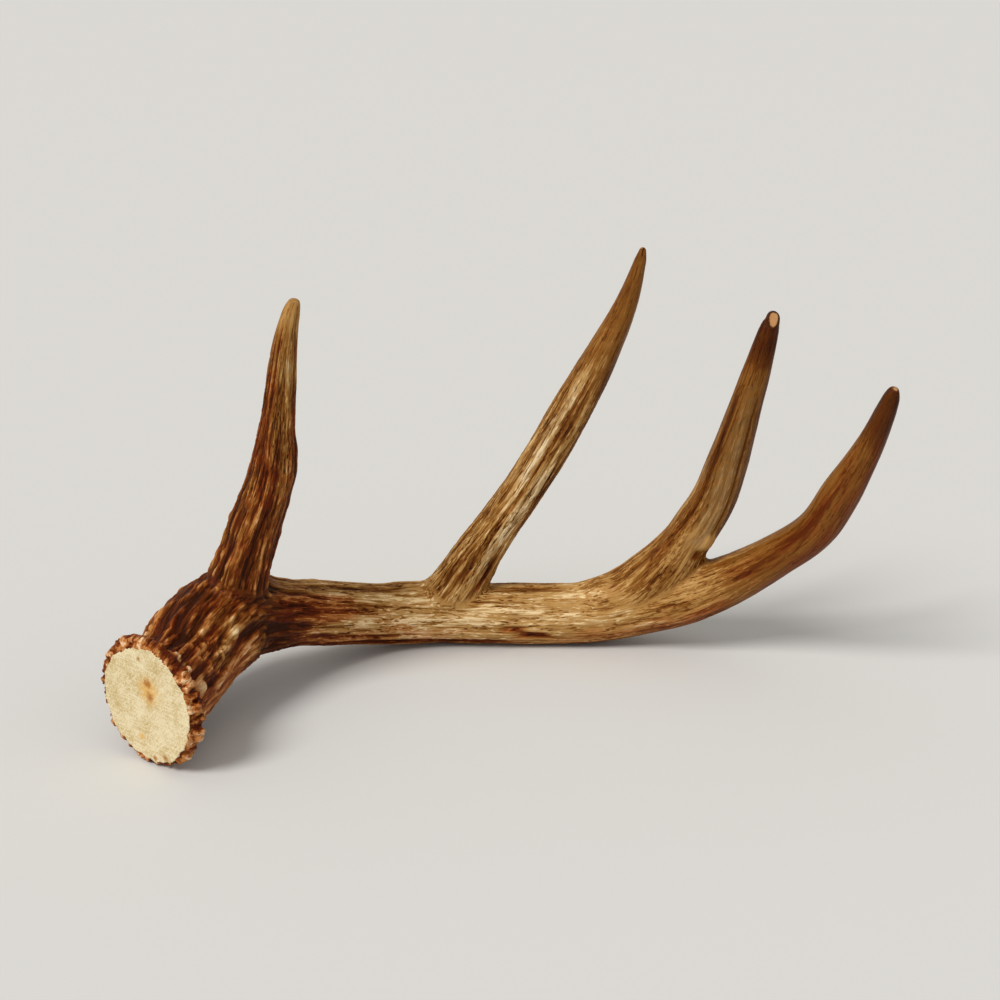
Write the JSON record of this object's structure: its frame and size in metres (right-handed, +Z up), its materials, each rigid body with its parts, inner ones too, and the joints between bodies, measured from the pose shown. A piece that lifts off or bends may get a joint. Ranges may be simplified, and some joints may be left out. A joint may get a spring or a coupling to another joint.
{
  "type": "deer antler",
  "caption": "Deer antler with a beaded burr, a brow tine, two beam tines and a curved beam tip, sawn off flat at the burr.",
  "frame": {"origin": "on the ground, under the middle of the antler as it lies on its burr and beam", "axes": "+X along the beam from the burr to the tip, +Y away from the inner side that the tines lean to, +Z up, the way the tines point"},
  "size_m": [0.2958, 0.1403, 0.1728],
  "materials": {
    "dark_antler": "antler bone stained dark chestnut, beaded and ridged, satin, with an ivory sawn face",
    "tan_antler": "antler bone, tan with brown grooves along the limb, satin",
    "polished_antler": "antler bone rubbed smooth and brown by use, low gloss"
  },
  "bodies": {
    "root": {"beam_base": "dark_antler", "brow_tine": "dark_antler", "lower_beam": "tan_antler", "second_tine": "tan_antler", "upper_beam": "tan_antler", "third_tine": "tan_antler", "beam_tip": "polished_antler"}
  },
  "joints": []
}
